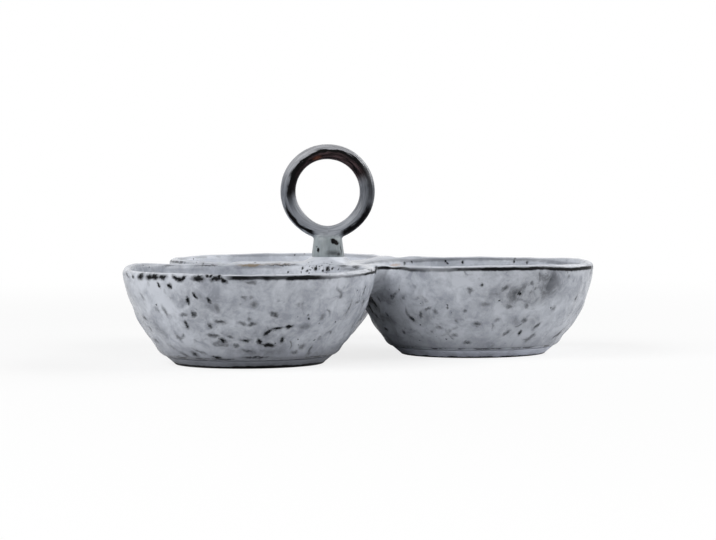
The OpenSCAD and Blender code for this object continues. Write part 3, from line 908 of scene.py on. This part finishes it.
def fireHandle():
    span = handleGlaze["spans"]
    material = bpy.data.materials.new("streakedStonewareGlaze")
    tree = emptyTree(material)
    place = addNode(tree, "ShaderNodeTexCoord", {}, give=3)
    height = addNode(tree, "ShaderNodeSeparateXYZ", {0: place}, give=2)

    # place in the ring, in mm: along it, outwards from its middle line, and depth
    local = addNode(tree, "ShaderNodeMapping", {
        "Vector": place, "Location": ringCentre, "Scale": (mm, mm, mm)}, vector_type="TEXTURE")
    axes = tree.nodes.new("ShaderNodeSeparateXYZ")
    tree.links.new(local, axes.inputs[0])
    across, depth, up = axes.outputs
    flat = vectors(tree, "MULTIPLY", local, (1, 0, 1))
    radius = vectors(tree, "LENGTH", flat, give=1)
    outwards = maths(tree, "SUBTRACT", radius, ringMid / mm)
    rightward = maths(tree, "DIVIDE", across, radius)
    topward = maths(tree, "DIVIDE", up, radius)
    turn = maths(tree, "ARCTAN2", across, up)
    along = maths(tree, "MULTIPLY", turn, ringMid / mm / handleGlaze["streakLong"])

    # streaks round the ring, and down the stem
    ringPlace = addNode(tree, "ShaderNodeCombineXYZ", {0: along, 1: depth, 2: outwards})
    perWidth = 1 / handleGlaze["streakWide"]
    ringPlace = vectors(tree, "MULTIPLY", ringPlace, (1, perWidth, perWidth))
    ringStreak = addNode(tree, "ShaderNodeTexNoise", {"Vector": ringPlace, "Scale": 1.0, "Detail": 4.0})
    stemPlace = addNode(tree, "ShaderNodeMapping", {
        "Vector": place, "Scale": [perSize(handleGlaze[side]) for side in ("runWide", "runWide", "runLong")]})
    stemStreak = addNode(tree, "ShaderNodeTexNoise", {"Vector": stemPlace, "Scale": 1.0, "Detail": 4.0})

    # ragged edges for the bands
    rag = lumpy(tree, place, handleGlaze["ragSize"], 4.0, 0.65)
    rag = ramp(tree, rag, *span["rag"], -handleGlaze["rag"], handleGlaze["rag"])
    outwards = maths(tree, "ADD", outwards, rag)
    hairy = maths(tree, "MULTIPLY_ADD", ringStreak, 2 * handleGlaze["hair"], -handleGlaze["hair"])
    outwards = maths(tree, "ADD", outwards, hairy)

    # the dark bands below are partly black-broken glaze and partly painted shade on the faces that look down
    # and to the right
    upperAt = maths(tree, "MULTIPLY_ADD", rightward, handleGlaze["upperDrift"], handleGlaze["upperBand"])
    upperOff = maths(tree, "SUBTRACT", outwards, upperAt)
    upperGap = maths(tree, "ABSOLUTE", upperOff)
    sideward = maths(tree, "ABSOLUTE", rightward)
    upperWide = maths(tree, "MULTIPLY_ADD", sideward, handleGlaze["upperMore"], handleGlaze["upperWide"])
    upperGap = maths(tree, "DIVIDE", upperGap, upperWide)
    upper = ramp(tree, upperGap, *span["upper"], soft=True)
    upperReach = ramp(tree, topward, *handleGlaze["upperEnd"], soft=True)
    upperFade = ramp(tree, rightward, *span["upperFade"])
    for share in (upperReach, upperFade):
        upper = maths(tree, "MULTIPLY", upper, share)

    inner = ramp(tree, upperOff, *span["inner"], soft=True)
    innerReach = maths(tree, "MULTIPLY_ADD", rightward, -handleGlaze["innerLean"], topward)
    innerReach = ramp(tree, innerReach, *handleGlaze["innerEnd"], soft=True)
    inner = maths(tree, "MULTIPLY", inner, innerReach)

    lowerAt = maths(tree, "MULTIPLY_ADD", rightward, handleGlaze["lowerDrift"], handleGlaze["lowerBand"])
    lowerGap = maths(tree, "SUBTRACT", outwards, lowerAt)
    lowerGap = maths(tree, "ABSOLUTE", lowerGap)
    lowerWide = maths(tree, "MULTIPLY_ADD", rightward, handleGlaze["lowerMore"], handleGlaze["lowerWide"])
    lowerGap = maths(tree, "DIVIDE", lowerGap, lowerWide)
    lower = ramp(tree, lowerGap, *span["lower"], soft=True)
    lowerReach = ramp(tree, topward, *handleGlaze["lowerEnd"], soft=True)
    besideStem = maths(tree, "ABSOLUTE", across)
    besideStem = ramp(tree, besideStem, *handleGlaze["stemHalf"], soft=True)
    for share in (lowerReach, besideStem):
        lower = maths(tree, "MULTIPLY", lower, share)

    # painted light and shade: the ring paler at its top, darker at its sides and mid at its bottom
    tone = ramp(tree, topward, *span["top"])
    colour = blend(tree, tone, linear(handleGlaze["side"]), linear(handleGlaze["top"]))
    tone = ramp(tree, topward, *span["low"])
    colour = blend(tree, tone, colour, linear(handleGlaze["low"]))
    # streaks darken the ring, and painted shade darkens its right side
    faint = ramp(tree, ringStreak, *span["faint"])
    shade = ramp(tree, rightward, *span["shade"])
    faint = maths(tree, "ADD", faint, shade)
    colour = blend(tree, faint, colour, linear(handleGlaze["blackBreakAndShade"]))
    fibres = ramp(tree, ringStreak, *span["fibres"])
    blacker = ramp(tree, rightward, *span["blacker"])
    fibres = maths(tree, "MULTIPLY", fibres, blacker)
    brown = blend(tree, fibres, linear(handleGlaze["blackBreakAndShade"]), linear(handleGlaze["brown"]))
    rusty = placedMask(tree, place, "handleRing", "rust", handleGlaze["rustSoft"])
    brown = blend(tree, rusty, brown, linear(handleGlaze["rust"]))
    colour = blend(tree, inner, colour, brown)
    band = maths(tree, "MAXIMUM", upper, lower)
    colour = blend(tree, band, colour, linear(handleGlaze["blackBreakAndShade"]))

    stemFaint = ramp(tree, stemStreak, *span["stemFaint"])
    stem = blend(tree, stemFaint, linear(handleGlaze["stem"]), linear(handleGlaze["blackBreakAndShade"]))
    ragged = raggedPlace(tree, place, handleGlaze["wobbleSize"], handleGlaze["wobble"])
    marks = placedMask(tree, ragged, "handleStem", "strokes", handleGlaze["strokeSoft"])
    # painted shade at the stem's foot
    stemFootShade = placedMask(tree, ragged, "handleStem", "clouds", handleGlaze["cloudSoft"])
    marks = maths(tree, "MAXIMUM", marks, stemFootShade)
    stem = blend(tree, marks, stem, linear(handleGlaze["blackBreakAndShade"]))
    onStem = ramp(tree, height, ringLow.z + handleGlaze["stemTop"] * mm, ringLow.z, soft=True)
    overStem = ramp(tree, besideStem, 0, 1, 1, 0)
    inStem = maths(tree, "LESS_THAN", height, ringLow.z)
    overStem = maths(tree, "MAXIMUM", overStem, inStem)
    onStem = maths(tree, "MULTIPLY", onStem, overStem)
    colour = blend(tree, onStem, colour, stem)
    bump = bumpy(tree, ringStreak, handleGlaze["streakDepth"])
    dry = maths(tree, "MAXIMUM", band, inner)
    dry = maths(tree, "MAXIMUM", dry, marks)
    shine = ramp(tree, dry, 0, 1, handleGlaze["shine"], handleGlaze["dryShine"])
    shader = addNode(tree, "ShaderNodeBsdfPrincipled", {
        "Base Color": colour, "Roughness": handleGlaze["rough"], "Normal": bump,
        "IOR": handleGlaze["ior"], "Specular IOR Level": shine})
    addNode(tree, "ShaderNodeOutputMaterial", {0: shader})
    return material


# The feet are wiped almost clean of glaze: a thin even grey wash, painted darker towards the left as painted
# shade and paler towards the right as painted light, and bare dark clay where they stand, painted darker as
# painted contact shadow
footClay = {
    "wash": "#81848c", "litWash": "#c6cad6", "bareClayAndShadow": "#121112",
    "litFrom": (-20.0, 30.0),             # mm across the tray over which the wash is painted paler, as painted light
    "bareHeight": 1.1, "bareLess": 0.6,    # mm of bare clay and painted contact shadow at the lower edge, and less where the wash is painted paler
    "ledge": 0.2,                          # mm at its upper edge
    "washSize": 7.0, "gritSize": 0.8, "gritDepth": 0.04,    # mm
    "sway": 0.4, "soft": 0.5,              # mm, how unevenly the bare clay ends, and how softly
    "ledgeDark": 0.15,
    "uneven": (0.3, 0.7), "faint": (0.3, 0.6, 0.3, 0),    # values of the wash, and what they become
    "rough": 0.42, "ior": 1.45, "shine": 0.15,
}


def wipeFoot():
    material = bpy.data.materials.new("wipedStonewareClay")
    tree = emptyTree(material)
    place = addNode(tree, "ShaderNodeTexCoord", {}, give=3)
    height = addNode(tree, "ShaderNodeSeparateXYZ", {0: place}, give=2)
    wash = lumpy(tree, place, footClay["washSize"], 5.0, 0.6)
    uneven = ramp(tree, wash, *footClay["uneven"], -footClay["sway"] * mm, footClay["sway"] * mm)
    level = maths(tree, "ADD", height, uneven)
    across = addNode(tree, "ShaderNodeSeparateXYZ", {0: place}, give=0)
    # painted light and shade: the wash darker towards the left foot, paler towards the right
    pale = ramp(tree, across, footClay["litFrom"][0] * mm, footClay["litFrom"][1] * mm)
    level = maths(tree, "MULTIPLY_ADD", pale, footClay["bareLess"] * mm, level)
    bareTop, ledgeHigh = footClay["bareHeight"], footClay["ledge"] * mm
    # bare clay, darkened further as painted contact shadow
    bareClayAndShadow = ramp(tree, level, (bareTop + footClay["soft"]) * mm, bareTop * mm)
    ledge = ramp(tree, height, footTop - ledgeHigh * 2, footTop - ledgeHigh, 0, footClay["ledgeDark"])
    dark = maths(tree, "MAXIMUM", bareClayAndShadow, ledge)
    faint = ramp(tree, wash, *footClay["faint"])
    dark = maths(tree, "MAXIMUM", dark, faint)
    colour = blend(tree, pale, linear(footClay["wash"]), linear(footClay["litWash"]))
    colour = blend(tree, dark, colour, linear(footClay["bareClayAndShadow"]))
    grit = lumpy(tree, place, footClay["gritSize"], 2.0)
    bump = bumpy(tree, grit, footClay["gritDepth"])
    shader = addNode(tree, "ShaderNodeBsdfPrincipled", {
        "Base Color": colour, "Roughness": footClay["rough"], "Normal": bump,
        "IOR": footClay["ior"], "Specular IOR Level": footClay["shine"]})
    addNode(tree, "ShaderNodeOutputMaterial", {0: shader})
    return material


finishes = {"glaze": fireGlaze("other"), "handle_glaze": fireHandle(), "foot_clay": wipeFoot()}
ownFinishes = {name: fireGlaze(name) for name in ("leftBowl", "rightBowl", "frontSeam")}
print("glazes fired:", [len(skin.node_tree.nodes) for skin in (*finishes.values(), *ownFinishes.values())])

standsFor = {
    "leftBowl": "bowl_left", "rightBowl": "bowl_right", "rearBowl": "bowl_rear",
    "leftFoot": "foot_ring_left", "rightFoot": "foot_ring_right", "rearFoot": "foot_ring_rear",
    "frontSeam": "seam_front", "backSeam": "seam_back", "sideSeam": "seam_side",
    "centreWeb": "center_web", "handlePad": "handle_pad",
    "handleStem": "handle_stem", "handleRing": "handle_ring",
}
for name, node in standsFor.items():
    piece = pieces[name]
    piece.name = name
    pick(piece)
    bpy.ops.object.shade_smooth_by_angle(angle=math.radians(parting["sharpEdge"]))
    if not name.endswith("Foot"):
        source = wholes["handle" if name in ("handleStem", "handleRing") else "body"]
        refine(piece, "DATA_TRANSFER", object=source, use_loop_data=True,
               data_types_loops={"CUSTOM_NORMAL"}, loop_mapping="POLYINTERP_NEAREST")
    slot = "foot_clay" if name.endswith("Foot") else "glaze"
    if name in ("handleStem", "handleRing"):
        slot = "handle_glaze"
    piece.data.materials.clear()
    piece.data.materials.append(ownFinishes.get(name, finishes[slot]))
    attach(piece, "root")
    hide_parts(node)
discard(*wholes.values())
print("pieces made")

# Studio: a pale sweep of floor, four soft lamps and a faint even sky
studio = {
    "floor": "#f2f2f2", "floorSize": 40.0,   # m
    "white": 0.8,                            # share of plain white that the camera sees by the tray
    "near": 0.25, "far": 0.8,                # m from the tray, where that share starts and ends rising to all
    "sky": 0.06,                             # strength of the even light
    "lamps": (                               # place and aim in m, size in m, watts
        ((-1.3, -0.5, 1.1), (0, 0, 0.03), 1.2, 21),
        ((1.4, -0.3, 0.9), (0, 0, 0.03), 1.0, 15),
        ((-0.9, -1.5, 0.8), (0, 0, 0.03), 1.0, 11),
        ((1.2, 0.7, 0.8), (0, 0, 0.03), 1.0, 11),
    ),
}


def seenOrReflected(tree):  # 1 for rays that show the sky itself
    path = tree.nodes.new("ShaderNodeLightPath")
    seen = maths(tree, "MAXIMUM", path.outputs["Is Camera Ray"], path.outputs["Is Glossy Ray"])
    return maths(tree, "MAXIMUM", seen, path.outputs["Is Transmission Ray"])


def setStudio():
    bpy.ops.mesh.primitive_plane_add(size=studio["floorSize"], location=(0, 0, 0))
    floor = bpy.context.object
    floor.name = "floor"
    floor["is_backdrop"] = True
    paint = bpy.data.materials.new("matWhitePaint")
    tree = emptyTree(paint)
    matt = addNode(tree, "ShaderNodeBsdfDiffuse", {"Color": linear(studio["floor"])})
    white = addNode(tree, "ShaderNodeEmission", {"Strength": 1.0})
    place = addNode(tree, "ShaderNodeTexCoord", {}, give=3)
    away = vectors(tree, "LENGTH", place, give=1)
    share = ramp(tree, away, studio["near"], studio["far"], studio["white"], 1, soft=True)
    seen = addNode(tree, "ShaderNodeLightPath", {})
    share = maths(tree, "MULTIPLY", share, seen)
    both = addNode(tree, "ShaderNodeMixShader", {0: share, 1: matt, 2: white})
    addNode(tree, "ShaderNodeOutputMaterial", {0: both})
    floor.data.materials.append(paint)
    for stand, aim, size, watts in studio["lamps"]:
        turn = (Vector(aim) - Vector(stand)).to_track_quat("-Z", "Y").to_euler()
        bpy.ops.object.light_add(type="AREA", location=stand, rotation=turn)
        bpy.context.object.data.size = size
        bpy.context.object.data.energy = watts
    world = bpy.data.worlds.new("studio")
    tree = emptyTree(world)
    level = addNode(tree, "ShaderNodeMix", {0: seenOrReflected(tree), 2: studio["sky"], 3: 1.0})
    sky = addNode(tree, "ShaderNodeBackground", {"Color": (1, 1, 1, 1), "Strength": level})
    addNode(tree, "ShaderNodeOutputWorld", {0: sky})
    scene.world = world


setStudio()
print("studio set")

low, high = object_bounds()
